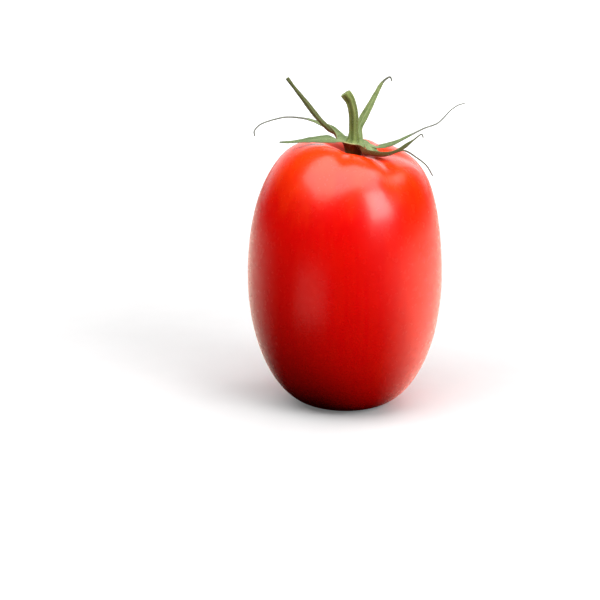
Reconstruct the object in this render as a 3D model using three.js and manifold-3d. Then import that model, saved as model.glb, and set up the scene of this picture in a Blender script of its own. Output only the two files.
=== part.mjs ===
// A plum tomato that stands on its blossom end, with its calyx and a short cut stem.
// Millimetres, +Z up. The origin is the centre of the small flat spot that the fruit rests on.
// The front is -Y. A direction round the fruit is in degrees from the front towards +X.
import * as THREE from "three";
import Module from "manifold-3d";
import { mergeVertices } from "three/addons/utils/BufferGeometryUtils.js";

const wasm = await Module();
wasm.setup();

// The fruit's driving dimensions.
const fruitHeight = 71;
const fruitRadius = 26;
const widestHeight = 34.8;
const flatSpotRadius = 8.5;
const shoulderRoundness = 0.477; // lower is squarer
const stemEndLean = { shift: 1.5, power: 3 }; // towards +X
// The shoulder's low side and its two low quarters, in degrees, and their drop per mm of radius.
const shoulderTilt = { drop: 0.163, direction: 88 };
const shoulderLobes = { drop: 0.066, direction: 45 };
const shoulderPower = 8; // higher keeps the tilt and the lobes nearer the stem end
const dimple = { depth: 3.0, width: 6.2 };
// Slow waves round the fruit, which keep it from being exactly round.
const facets = [
  { count: 2, depth: 0.25, direction: 60 },
  { count: 3, depth: 0.3, direction: 20 },
];
// The furrows that run from the dimple over the shoulder. Width is in degrees, and bend is how far
// a furrow has turned, in degrees, where the shoulder ends.
const furrows = [
  { direction: 48, bend: -30, depth: 1.0, width: 9 },
  { direction: 92, bend: -8, depth: 0.6, width: 13 },
  { direction: 139, bend: 10, depth: 0.9, width: 10 },
  { direction: 190, bend: -6, depth: 0.7, width: 12 },
  { direction: 244, bend: 6, depth: 0.9, width: 10 },
  { direction: 296, bend: -8, depth: 0.25, width: 15 },
  { direction: 346, bend: 0, depth: 0.7, width: 11 },
];
// Where a furrow fades in and out. 0 is the stem end and 1 is where the fruit is widest.
const furrowStart = [0.06, 0.34];
const furrowEnd = [0.4, 0.8];
const fruitSides = 72;
const upperRings = 27;
const lowerRings = 14;

// The calyx's driving dimensions. Heights are above the origin.
const calyxCentre = new THREE.Vector3(1.8, 0, 71.4);
const hubRadius = 4.2;
const hubCup = 0.6; // how far the hub's rim is turned up
const hubTilt = { drop: 0.15, direction: 85 }; // the hub's low side, and its drop per mm of radius
const hubRings = 3;
const rimSteps = 72;
const sepalSteps = 8; // how many steps of the rim each sepal grows from
const sepalRows = 24;
const sepalThickness = 0.6;
const sepalBlend = 3.5; // the length over which a sepal leaves the hub's rim
const receptacle = { topRadius: 3, bottomRadius: 2.6, sides: 24, clearance: 1 };

// Each sepal grows from the hub's rim at root, in degrees, and runs through the points of its midrib.
// Width, fold and twist are even steps from its root to its tip. Fold is how far its edges are turned
// up, as a share of its half width, and twist is in degrees.
const sepals = {
  frontRightHooked: {
    root: 25,
    width: [2.8, 1.85, 1.8, 1.65, 1.1, 1.3, 0.6, 0.6],
    fold: [0.2, 0.3, 0.3, 0.2],
    twist: [-55, -60, -60, -55, -40],
    midrib: [
      [4.2, -6.5, 70.6],
      [6.1, -9.1, 70.5],
      [9.1, -10.6, 70.5],
      [11.6, -11, 71],
      [14.3, -10.9, 72.2],
      [17.3, -10.2, 74.3],
      [19.3, -10, 75.8],
      [19.8, -10, 74.9],
    ],
  },
  frontRightLow: {
    root: 65,
    width: [3.4, 2.8, 1.5, 0.9, 0.6, 0.6, 0.6],
    fold: [0.15, 0.15],
    twist: [0, 10],
    midrib: [
      [7, -4.8, 70.2],
      [9.8, -6.6, 69.8],
      [12.9, -6.4, 70.3],
      [15.3, -5.4, 70.5],
      [18.2, -3.2, 68.4],
      [21.1, -1.6, 65.8],
      [23, -0.5, 62.6],
    ],
  },
  rightLong: {
    root: 105,
    width: [4.4, 2.4, 1.7, 0.8, 0.6, 0.6, 0.6, 0.6, 0.6],
    fold: [0.1, 0.1],
    twist: [55, 62, 65, 60, 40],
    midrib: [
      [7.3, -1, 70.3],
      [9.5, -1.4, 70.6],
      [11.9, -1.6, 71.3],
      [13.6, -1.7, 72.1],
      [16, -1.9, 73.4],
      [20.4, -2, 75.7],
      [24.1, -2, 77.2],
      [27.3, -2, 80.5],
      [29.3, -1.9, 81.9],
      [31.1, -1.8, 82.4],
    ],
  },
  backRight: {
    root: 160,
    width: [2.6, 1.8, 2.1, 1.75, 1.4, 1.1, 0.6, 0.6],
    fold: [0.3, 0.3, 0.2],
    twist: [5, 20, 22],
    midrib: [
      [3.5, 4.9, 73.9],
      [4.1, 5.3, 75.9],
      [6.2, 5.8, 79.9],
      [8, 6.3, 83.4],
      [9.7, 6.5, 86.4],
      [11.6, 6.2, 87.9],
      [12.2, 5.8, 86.8],
    ],
  },
  backLeftLong: {
    root: 225,
    width: [3, 2.4, 1.4, 0.75, 0.6, 0.6, 0.6, 0.6, 0.6, 0.6],
    fold: [0.2, 0.2],
    twist: [-10, -30, -30, -20],
    midrib: [
      [-2.3, 3.9, 73.2],
      [-4.5, 4.9, 74.5],
      [-7.5, 6, 75.7],
      [-11.1, 6.8, 76.6],
      [-15.4, 7.2, 76.9],
      [-18.7, 7.4, 76.3],
      [-22.1, 7.3, 75.2],
      [-23.7, 7.1, 74.1],
      [-24.4, 6.9, 73],
      [-24.2, 6.7, 71.8],
    ],
  },
  leftUpright: {
    root: 265,
    width: [1.2, 1.2, 1.35, 1.5, 1.45, 1.1, 0.8, 0.95],
    fold: [0.15, 0.15],
    twist: [60, 90, 90, 90],
    midrib: [
      [-3.2, 0.4, 73.9],
      [-5, 1, 75.4],
      [-7.7, 1.4, 78.2],
      [-10.9, 1.8, 82.3],
      [-13.8, 2, 86],
      [-15.6, 2.1, 88.4],
    ],
  },
  leftFlat: {
    root: 305,
    width: [4, 3.4, 3.1, 2.3, 1.3, 0.9, 0.6],
    fold: [0.1, 0.1],
    twist: [-22, -32, -33, -30],
    midrib: [
      [-3.7, -4.1, 73.2],
      [-5.2, -4.9, 73.4],
      [-8.5, -5.4, 73.4],
      [-11.9, -5.2, 73],
      [-14.8, -4.6, 72.6],
      [-17.5, -3.5, 72.3],
    ],
  },
};

// The stem's driving dimensions.
const stemRadius = 1.2;
const stemFootRadius = 1.6;
const stemEndRadius = 1.36;
const stemFootShare = 0.22; // the share of its length over which the foot narrows
const stemFlare = [0.75, 0.95]; // where it widens towards the cut end
const stemRidges = { count: 5, depth: 0.1 };
const stemClearance = 0.4;
const stemLine = [
  [0, 0, 0],
  [0.12, 0, 0.8],
  [0.1, 0, 3.4],
  [0.1, 0, 6.1],
  [-0.2, 0, 8.5],
  [-0.9, 0, 10.8],
  [-2.1, 0, 12.6],
];
const stemSides = 20;
const stemRings = 14;

const smooth = (low, high, value) =>
  THREE.MathUtils.smoothstep(value, low, high);
const radians = THREE.MathUtils.degToRad;

// The value at a share of the way along a list of evenly spaced values.
function valueAt(values, share) {
  const place = share * (values.length - 1);
  const index = Math.min(Math.floor(place), values.length - 2);
  return THREE.MathUtils.lerp(values[index], values[index + 1], smooth(0, 1, place - index));
}

function turnBetween(a, b) {
  return THREE.MathUtils.euclideanModulo(a - b + 180, 360) - 180;
}

// A closed surface from rings of points, each ring anticlockwise from above, between two end points.
function ringSurface(rings, first, last) {
  const sides = rings[0].length;
  const points = [first, ...rings.flat(), last];
  const index = [];
  const at = (ring, side) => 1 + ring * sides + (side % sides);
  for (let side = 0; side < sides; side++) {
    index.push(0, at(0, side + 1), at(0, side));
    for (let ring = 0; ring + 1 < rings.length; ring++) {
      const [a, b] = [at(ring, side), at(ring, side + 1)];
      const [c, d] = [at(ring + 1, side + 1), at(ring + 1, side)];
      index.push(a, b, c, a, c, d);
    }
    const top = rings.length - 1;
    index.push(at(top, side), at(top, side + 1), points.length - 1);
  }
  return new THREE.BufferGeometry().setFromPoints(points).setIndex(index);
}

// A point of the fruit's skin. Latitude is 90 at the stem end, 0 where it is widest and -90 below.
function fruitPoint(direction, latitude) {
  const sine = Math.sin(radians(latitude));
  const cosine = Math.max(0, Math.cos(radians(latitude)));
  const upper = latitude > 0;
  const rise = upper ? fruitHeight - widestHeight : widestHeight;
  let radius = upper
    ? fruitRadius * cosine ** shoulderRoundness
    : flatSpotRadius + (fruitRadius - flatSpotRadius) * cosine;
  let z = widestHeight + rise * sine;
  for (const facet of facets) {
    const wave = Math.cos(radians(facet.count * (direction - facet.direction)));
    radius += (facet.depth * wave * cosine ** shoulderRoundness * (radius - flatSpotRadius)) / fruitRadius;
  }
  if (upper) {
    // The share of the way down from the stem end, and the skin's slope, which a furrow sinks along.
    const top = Math.sqrt(1 - latitude / 90);
    const slope = fruitRadius * shoulderRoundness * cosine ** (shoulderRoundness - 1) * sine;
    const length = Math.hypot(rise * cosine, slope);
    const reach = smooth(...furrowStart, top) * (1 - smooth(...furrowEnd, top));
    for (const furrow of furrows) {
      const turn = turnBetween(direction, furrow.direction + furrow.bend * top) / furrow.width;
      const sink = furrow.depth * Math.exp(-turn * turn) * reach;
      radius -= (sink * rise * cosine) / length;
      z -= (sink * slope) / length;
    }
    z -= dimple.depth * Math.exp(-((radius / dimple.width) ** 2));
    const tilt = shoulderTilt.drop * Math.cos(radians(direction - shoulderTilt.direction));
    const lobes = shoulderLobes.drop * Math.cos(radians(2 * (direction - shoulderLobes.direction)));
    z -= (tilt + lobes) * radius * sine ** shoulderPower;
  }
  const shift = upper ? stemEndLean.shift * sine ** stemEndLean.power : 0;
  const x = radius * Math.sin(radians(direction)) + shift;
  return new THREE.Vector3(x, -radius * Math.cos(radians(direction)), z);
}

function makeFruit() {
  const latitudes = [];
  for (let i = 0; i < lowerRings; i++) latitudes.push(-90 * (1 - i / lowerRings));
  for (let i = 0; i < upperRings; i++) latitudes.push(90 * (1 - (1 - i / upperRings) ** 2));
  const rings = latitudes.map((latitude) =>
    Array.from({ length: fruitSides }, (_, i) => fruitPoint((360 * i) / fruitSides, latitude)),
  );
  const bottom = new THREE.Vector3(0, 0, 0);
  return ringSurface(rings, bottom, fruitPoint(0, 90));
}

// A frame carried along a curve without turning about it, from a first side direction.
function framesAlong(curve, count, firstSide) {
  const frames = [];
  const side = firstSide.clone();
  for (let i = 0; i <= count; i++) {
    const point = curve.getPointAt(i / count);
    const tangent = curve.getTangentAt(i / count);
    side.addScaledVector(tangent, -side.dot(tangent)).normalize();
    frames.push({ point, side: side.clone(), up: new THREE.Vector3().crossVectors(tangent, side) });
  }
  return frames;
}

// A point of the hub, which is a shallow tilted saucer.
function hubPoint(direction, radius) {
  const angle = radians(direction);
  const tilt = hubTilt.drop * radius * Math.cos(angle - radians(hubTilt.direction));
  const lift = hubCup * (radius / hubRadius) ** 4 - tilt;
  return new THREE.Vector3(radius * Math.sin(angle), -radius * Math.cos(angle), lift).add(calyxCentre);
}

// The rows of points across one sepal. The first row lies on the hub's rim.
function sepalPoints(sepal, from, to) {
  const rim = hubPoint(sepal.root, hubRadius);
  const outward = rim.clone().sub(calyxCentre).setZ(0).normalize();
  const midrib = [rim, ...sepal.midrib.map((p) => new THREE.Vector3(...p))];
  const curve = new THREE.CatmullRomCurve3(midrib, false, "catmullrom");
  const across = new THREE.Vector3(0, 0, 1).cross(outward);
  const frames = framesAlong(curve, sepalRows, across);
  const blend = sepalBlend / curve.getLength();
  const rows = frames.map(({ point, side, up }, row) => {
    const share = row / sepalRows;
    const free = smooth(0, blend, share);
    const half = valueAt(sepal.width, share) / 2;
    const twist = radians(valueAt(sepal.twist, share) * free);
    const turnedSide = side.clone().multiplyScalar(Math.cos(twist)).addScaledVector(up, Math.sin(twist));
    const turnedUp = up.clone().multiplyScalar(Math.cos(twist)).addScaledVector(side, -Math.sin(twist));
    return Array.from({ length: sepalSteps + 1 }, (_, column) => {
      const v = (2 * column) / sepalSteps - 1;
      const fold = valueAt(sepal.fold, share) * half * v * v * free;
      return point.clone().addScaledVector(turnedSide, v * half).addScaledVector(turnedUp, fold);
    });
  });
  const toRim = rows[0].map((p, column) =>
    hubPoint(THREE.MathUtils.lerp(from, to, column / sepalSteps), hubRadius).sub(p),
  );
  rows.forEach((line, row) => {
    const held = 1 - smooth(0, blend, row / sepalRows);
    line.forEach((p, column) => p.addScaledVector(toRim[column], held));
  });
  return rows;
}

// A closed solid from a thin sheet, half the thickness to each side of it.
function thickened(points, faces, thickness) {
  const normals = points.map(() => new THREE.Vector3());
  const open = new Map();
  for (const face of faces) {
    const [a, b, c] = face.map((i) => points[i]);
    const normal = b.clone().sub(a).cross(c.clone().sub(a));
    face.forEach((i) => normals[i].add(normal));
    face.forEach((i, k) => {
      const next = face[(k + 1) % 3];
      if (!open.delete(`${next},${i}`)) open.set(`${i},${next}`, [i, next]);
    });
  }
  normals.forEach((normal) => normal.normalize());
  const above = points.map((p, i) => p.clone().addScaledVector(normals[i], thickness / 2));
  const below = points.map((p, i) => p.clone().addScaledVector(normals[i], -thickness / 2));
  const index = faces.flat();
  const lower = points.length;
  for (const [a, b, c] of faces) index.push(a + lower, c + lower, b + lower);
  for (const [a, b] of open.values()) index.push(b, a, a + lower, b, a + lower, b + lower);
  return new THREE.BufferGeometry().setFromPoints([...above, ...below]).setIndex(index);
}

function solidOf(geometry) {
  const bare = geometry.clone();
  bare.deleteAttribute("normal");
  bare.deleteAttribute("uv");
  const merged = mergeVertices(bare, 1e-4);
  return new wasm.Manifold(
    new wasm.Mesh({
      numProp: 3,
      vertProperties: new Float32Array(merged.attributes.position.array),
      triVerts: new Uint32Array(merged.index.array),
    }),
  );
}

function geometryOf(solid) {
  const mesh = solid.getMesh();
  return new THREE.BufferGeometry()
    .setAttribute("position", new THREE.BufferAttribute(mesh.vertProperties, 3))
    .setIndex(new THREE.BufferAttribute(mesh.triVerts, 1));
}

// The hub and the sepals as one sheet: a sepal's first row is a stretch of the hub's rim.
function calyxSheet() {
  const step = 360 / rimSteps;
  const points = [hubPoint(0, 0)];
  const faces = [];
  for (let ring = 1; ring <= hubRings; ring++)
    for (let i = 0; i < rimSteps; i++) points.push(hubPoint(i * step, (hubRadius * ring) / hubRings));
  const onHub = (ring, i) => 1 + (ring - 1) * rimSteps + (i % rimSteps);
  for (let i = 0; i < rimSteps; i++) {
    faces.push([0, onHub(1, i), onHub(1, i + 1)]);
    for (let ring = 1; ring < hubRings; ring++) {
      const [a, b] = [onHub(ring, i), onHub(ring, i + 1)];
      const [c, d] = [onHub(ring + 1, i + 1), onHub(ring + 1, i)];
      faces.push([a, d, c], [a, c, b]);
    }
  }
  for (const sepal of Object.values(sepals)) {
    const start = sepal.root / step - sepalSteps / 2;
    const rows = sepalPoints(sepal, start * step, (start + sepalSteps) * step);
    let inner = rows[0].map((_, column) => onHub(hubRings, start + column));
    for (const row of rows.slice(1)) {
      const outer = row.map((p) => points.push(p) - 1);
      for (let i = 0; i < sepalSteps; i++)
        faces.push([inner[i], outer[i], outer[i + 1]], [inner[i], outer[i + 1], inner[i + 1]]);
      inner = outer;
    }
  }
  return { points, faces };
}

// The short neck under the hub. Its foot is tilted as the fruit's shoulder is, and clears the dimple.
function makeReceptacle() {
  const foot = fruitPoint(0, 90).z + receptacle.clearance;
  const directions = Array.from({ length: receptacle.sides }, (_, i) => (360 * i) / receptacle.sides);
  const bottom = directions.map((direction) => {
    const point = hubPoint(direction, receptacle.bottomRadius);
    const tilt = shoulderTilt.drop * Math.cos(radians(direction - shoulderTilt.direction));
    return point.setZ(foot - tilt * receptacle.bottomRadius);
  });
  const top = directions.map((direction) => hubPoint(direction, receptacle.topRadius));
  return ringSurface([bottom, top], calyxCentre.clone().setZ(foot), calyxCentre);
}

function makeCalyx() {
  const { points, faces } = calyxSheet();
  const star = solidOf(thickened(points, faces, sepalThickness));
  return geometryOf(star.add(solidOf(makeReceptacle())));
}

function makeStem() {
  const bottom = calyxCentre.z + sepalThickness / 2 + stemClearance;
  const base = new THREE.Vector3(calyxCentre.x, calyxCentre.y, bottom);
  const line = stemLine.map((p) => new THREE.Vector3(...p).add(base));
  const curve = new THREE.CatmullRomCurve3(line, false, "catmullrom");
  const frames = framesAlong(curve, stemRings, new THREE.Vector3(1, 0, 0));
  const rings = frames.map(({ point, side, up }, ring) => {
    const share = ring / stemRings;
    const foot = (stemFootRadius - stemRadius) * (1 - smooth(0, stemFootShare, share));
    const flare = (stemEndRadius - stemRadius) * smooth(...stemFlare, share);
    return Array.from({ length: stemSides }, (_, i) => {
      const angle = (2 * Math.PI * i) / stemSides;
      const ridge = stemRidges.depth * Math.cos(stemRidges.count * angle);
      const radius = stemRadius + foot + flare + ridge;
      return point
        .clone()
        .addScaledVector(side, radius * Math.cos(angle))
        .addScaledVector(up, radius * Math.sin(angle));
    });
  });
  return ringSurface(rings, line[0], line[line.length - 1]);
}

function named(name, geometry, color, roughness) {
  const flat = geometry.toNonIndexed();
  flat.computeVertexNormals();
  const mesh = new THREE.Mesh(flat, new THREE.MeshStandardMaterial({ color, roughness, metalness: 0 }));
  mesh.name = name;
  return mesh;
}

const tomato = new THREE.Group();
tomato.add(named("fruit", makeFruit(), 0xd81a08, 0.25));
tomato.add(named("calyx", makeCalyx(), 0x6f9a58, 0.6));
tomato.add(named("stem", makeStem(), 0x74863f, 0.6));

export default tomato;
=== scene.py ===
import math
import random

import bpy
import numpy as np
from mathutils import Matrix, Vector, noise


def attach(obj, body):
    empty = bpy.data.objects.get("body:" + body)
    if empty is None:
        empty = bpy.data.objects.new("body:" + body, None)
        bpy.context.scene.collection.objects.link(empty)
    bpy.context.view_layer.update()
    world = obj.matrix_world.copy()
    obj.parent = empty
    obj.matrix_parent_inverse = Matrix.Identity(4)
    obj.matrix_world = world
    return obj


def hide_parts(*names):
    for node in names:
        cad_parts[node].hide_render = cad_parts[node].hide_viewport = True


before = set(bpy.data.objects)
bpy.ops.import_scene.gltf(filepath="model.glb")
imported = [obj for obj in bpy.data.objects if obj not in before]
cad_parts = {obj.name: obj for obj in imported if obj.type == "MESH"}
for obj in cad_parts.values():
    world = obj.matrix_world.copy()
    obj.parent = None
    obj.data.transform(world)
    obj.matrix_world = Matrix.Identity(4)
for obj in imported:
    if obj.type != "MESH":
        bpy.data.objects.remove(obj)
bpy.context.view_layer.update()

# Shapes are worked out in millimetres and go into the meshes in metres.
# A direction round the fruit is in degrees from the front (-Y) towards +X.
mm = 0.001
print("frame loaded:", ", ".join(sorted(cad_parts)))


def smoothBetween(low, high, value):
    t = np.clip((np.asarray(value, float) - low) / (high - low), 0, 1)
    return t * t * (3 - 2 * t)


def unit(vectors):
    return vectors / np.maximum(np.linalg.norm(vectors, axis=-1, keepdims=True), 1e-12)


# Slow noise from about -1 to 1, one value for each point, with lumps about size mm across.
def slowLumps(points, size, seed):
    start = Vector((seed, seed * 0.7, -seed))
    return np.array([noise.noise(Vector(p) / size + start) for p in points])


# Points at even distances along a smooth curve that runs through a few given points.
def pathThrough(points, count):
    given = np.array(points, float)
    given = np.vstack([2 * given[0] - given[1], given, 2 * given[-1] - given[-2]])
    fine = []
    t = np.linspace(0, 1, 40, endpoint=False)[:, None]
    for a, b, c, d in zip(given, given[1:], given[2:], given[3:]):
        curve = 2 * b + (c - a) * t
        curve = curve + (2 * a - 5 * b + 4 * c - d) * t**2
        curve = curve + (3 * b - a - 3 * c + d) * t**3
        fine.append(0.5 * curve)
    fine = np.vstack(fine + [given[-2:-1]])
    far = np.concatenate([[0], np.cumsum(np.linalg.norm(np.diff(fine, axis=0), axis=1))])
    even = np.linspace(0, far[-1], count + 1)
    return np.stack([np.interp(even, far, fine[:, k]) for k in range(3)], 1), far[-1]


# A side and an up direction for each point, carried along the path without turning about it.
def carriedSides(path, firstSide):
    tangents = unit(np.gradient(path, axis=0))
    side = np.array(firstSide, float)
    sides = []
    for tangent in tangents:
        side = unit(side - tangent * (side @ tangent))
        sides.append(side)
    sides = np.array(sides)
    return sides, np.cross(tangents, sides)


# A mesh from points in mm, with values stored on its points for the material to read.
def meshPiece(name, points, faces, values=None):
    mesh = bpy.data.meshes.new(name)
    corners = [tuple(int(i) for i in face) for face in faces]
    mesh.from_pydata((np.asarray(points) * mm).tolist(), [], corners)
    mesh.update()
    mesh.shade_smooth()
    for key, numbers in (values or {}).items():
        numbers = np.asarray(numbers, np.float32)
        kind, field = ("FLOAT_VECTOR", "vector") if numbers.ndim == 2 else ("FLOAT", "value")
        mesh.attributes.new(key, kind, "POINT").data.foreach_set(field, numbers.ravel())
    piece = bpy.data.objects.new(name, mesh)
    bpy.context.scene.collection.objects.link(piece)
    return piece


# Faces that join rings of points, closed at both ends by a single point.
# Point 0 is the first end, then come the rings, then the last end.
def ringFaces(rings, sides):
    faces = []
    for side in range(sides):
        after = (side + 1) % sides
        faces.append((0, 1 + after, 1 + side))
        for ring in range(rings - 1):
            low, high = 1 + ring * sides, 1 + (ring + 1) * sides
            faces.append((low + side, low + after, high + after, high + side))
        top = 1 + (rings - 1) * sides
        faces.append((top + side, top + after, 1 + rings * sides))
    return faces


# The fruit stands on its blossom end. Its shape is close to the solid's, with finer detail.
fruit = {
    "height": 71,
    "radius": 26,
    "widestHeight": 34.8,
    "flatSpotRadius": 8.5,
    "shoulderRoundness": 0.477,
    "lean": (1.5, 3),  # how far the stem end is shifted to the right, and how late
    "tilt": (0.163, 88),  # drop for each mm of radius, direction of the low side
    "lobes": (0.066, 45),
    "shoulderPower": 8,
    "dimple": (3.0, 6.2),  # depth, width
    "facets": [(2, 0.25, 60), (3, 0.3, 20)],  # count, depth, direction
    "furrows": [  # direction, bend, depth, width
        (53, -30, 0.75, 9),
        (92, -8, 0.6, 13),
        (139, 10, 0.9, 10),
        (190, -6, 0.7, 12),
        (244, 6, 0.9, 10),
        (296, -8, 0.25, 15),
        (346, 0, 0.7, 11),
    ],
    "furrowStart": (0.06, 0.34),
    "furrowEnd": (0.4, 0.8),
    "unevenness": (0.04, 12, 3.1),  # slow lumps of the real skin: height, size, seed
    "inset": 0.02,  # keeps the lumps within the solid's size
    "blossomHollow": (0.55, 2.4),  # height, width
    "blossomCreases": (9, 0.12, 1.3),  # count, share of the height, turn
    "scarEdge": (0.5, 1.7),
    "corkWidth": 5,  # of the dull patch round the stem
    "spotRings": 15,
    "sides": 288,
    "upperRings": 120,
    "lowerRings": 140,
}


def fruitSurface(direction, latitude):
    f = fruit
    direction, latitude = np.broadcast_arrays(np.asarray(direction, float), np.asarray(latitude, float))
    sine = np.sin(np.radians(latitude))
    cosine = np.clip(np.cos(np.radians(latitude)), 1e-9, None)
    upper = latitude > 0
    rise = np.where(upper, f["height"] - f["widestHeight"], f["widestHeight"])
    below = f["flatSpotRadius"] + (f["radius"] - f["flatSpotRadius"]) * cosine
    radius = np.where(upper, f["radius"] * cosine ** f["shoulderRoundness"], below)
    z = f["widestHeight"] + rise * sine
    for count, depth, turned in f["facets"]:
        wave = np.cos(np.radians(count * (direction - turned)))
        swell = depth * wave * cosine ** f["shoulderRoundness"]
        radius = radius + swell * (radius - f["flatSpotRadius"]) / f["radius"]
    # each furrow sinks along the skin's own slope
    top = np.sqrt(np.clip(1 - latitude / 90, 0, None))
    slope = f["radius"] * f["shoulderRoundness"] * cosine ** (f["shoulderRoundness"] - 1) * sine
    length = np.hypot(rise * cosine, slope)
    reach = smoothBetween(*f["furrowStart"], top) * (1 - smoothBetween(*f["furrowEnd"], top))
    for start, bend, depth, width in f["furrows"]:
        turn = ((direction - start - bend * top + 180) % 360 - 180) / width
        sink = np.where(upper, depth * np.exp(-(turn**2)) * reach, 0)
        radius = radius - sink * rise * cosine / length
        z = z - sink * slope / length
    z = z - np.where(upper, f["dimple"][0] * np.exp(-((radius / f["dimple"][1]) ** 2)), 0)
    tilt = f["tilt"][0] * np.cos(np.radians(direction - f["tilt"][1]))
    lobes = f["lobes"][0] * np.cos(np.radians(2 * (direction - f["lobes"][1])))
    z = z - np.where(upper, (tilt + lobes) * radius * np.abs(sine) ** f["shoulderPower"], 0)
    shift = np.where(upper, f["lean"][0] * np.abs(sine) ** f["lean"][1], 0)
    x = radius * np.sin(np.radians(direction)) + shift
    return np.stack([x, -radius * np.cos(np.radians(direction)), z], -1)


def makeFruit():
    f = fruit
    lower = -90 * (1 - np.arange(f["lowerRings"]) / f["lowerRings"])
    upper = 90 * (1 - (1 - np.arange(f["upperRings"]) / f["upperRings"]) ** 2)
    latitudes = np.concatenate([lower, upper])
    directions = 360 * np.arange(f["sides"]) / f["sides"]
    rings = fruitSurface(directions[None, :], latitudes[:, None]).reshape(-1, 3)
    # the flat spot at the blossom end gets rings of its own, out to where the first ring starts
    spot = np.linspace(0.06, 1, f["spotRings"] + 1)[:-1]
    inner = (spot[:, None, None] * rings[None, : f["sides"]]).reshape(-1, 3)
    points = np.vstack([[0, 0, 0], inner, rings, fruitSurface(0, 90)])
    radius = np.hypot(points[:, 0], points[:, 1])
    hollow, hollowWidth = f["blossomHollow"]
    lowEnd = np.where(points[:, 2] < 5, np.exp(-((radius / hollowWidth) ** 2)), 0)
    count, depth, turn = f["blossomCreases"]
    creases = 1 + depth * np.cos(count * np.arctan2(points[:, 1], points[:, 0]) + turn)
    points[:, 2] += hollow * lowEnd * creases
    height, size, seed = f["unevenness"]
    bulge = height * slowLumps(points, size, seed) * smoothBetween(0.5, 6, points[:, 2])
    outward = unit(points - [0, 0, 35])
    points += outward * (bulge - f["inset"])[:, None]
    centre = fruitSurface(0, 90)
    fromStem = np.hypot(points[:, 0] - centre[0], points[:, 1] - centre[1])
    stemEnd = np.where(points[:, 2] > 55, np.exp(-((fromStem / f["corkWidth"]) ** 2)), 0)
    scar = np.where(points[:, 2] < 3, 1 - smoothBetween(*f["scarEdge"], radius), 0)
    faces = ringFaces(len(spot) + len(latitudes), f["sides"])
    return meshPiece("tomatoFruit", points, faces, {"stemEnd": stemEnd, "blossomScar": scar})


# The calyx: a small hub with seven sepals, each along its own midrib, and a neck below the hub.
calyx = {
    "centre": np.array([1.8, 0, 71.4]),
    "hubRadius": 4.2,
    "hubCup": 0.6,
    "hubTilt": (0.15, 85),  # drop for each mm of radius, direction of the low side
    "hubRings": 8,
    "rimSteps": 144,
    "sepalSteps": 16,
    "sepalRows": 84,
    "blend": 3.5,  # how far a sepal runs before it is free of the hub's rim
    "thickness": 0.42,
    "edgeThickness": 0.16,
    "midribRidge": 0.14,  # how far the midrib stands out below
    "midribGroove": 0.06,  # and how deep its groove is above
    "edgeWave": 0.12,  # of the half width
    "neckTop": 3.1,
    "neckPinch": 0.12,
    "neckRibs": (7, 0.03),  # count, depth
    "neckFootLatitude": 89.66,
    "neckFootShift": np.array([0.5, 0, -0.2]),
    "neckSides": 64,
    "neckRings": 14,
}
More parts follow.
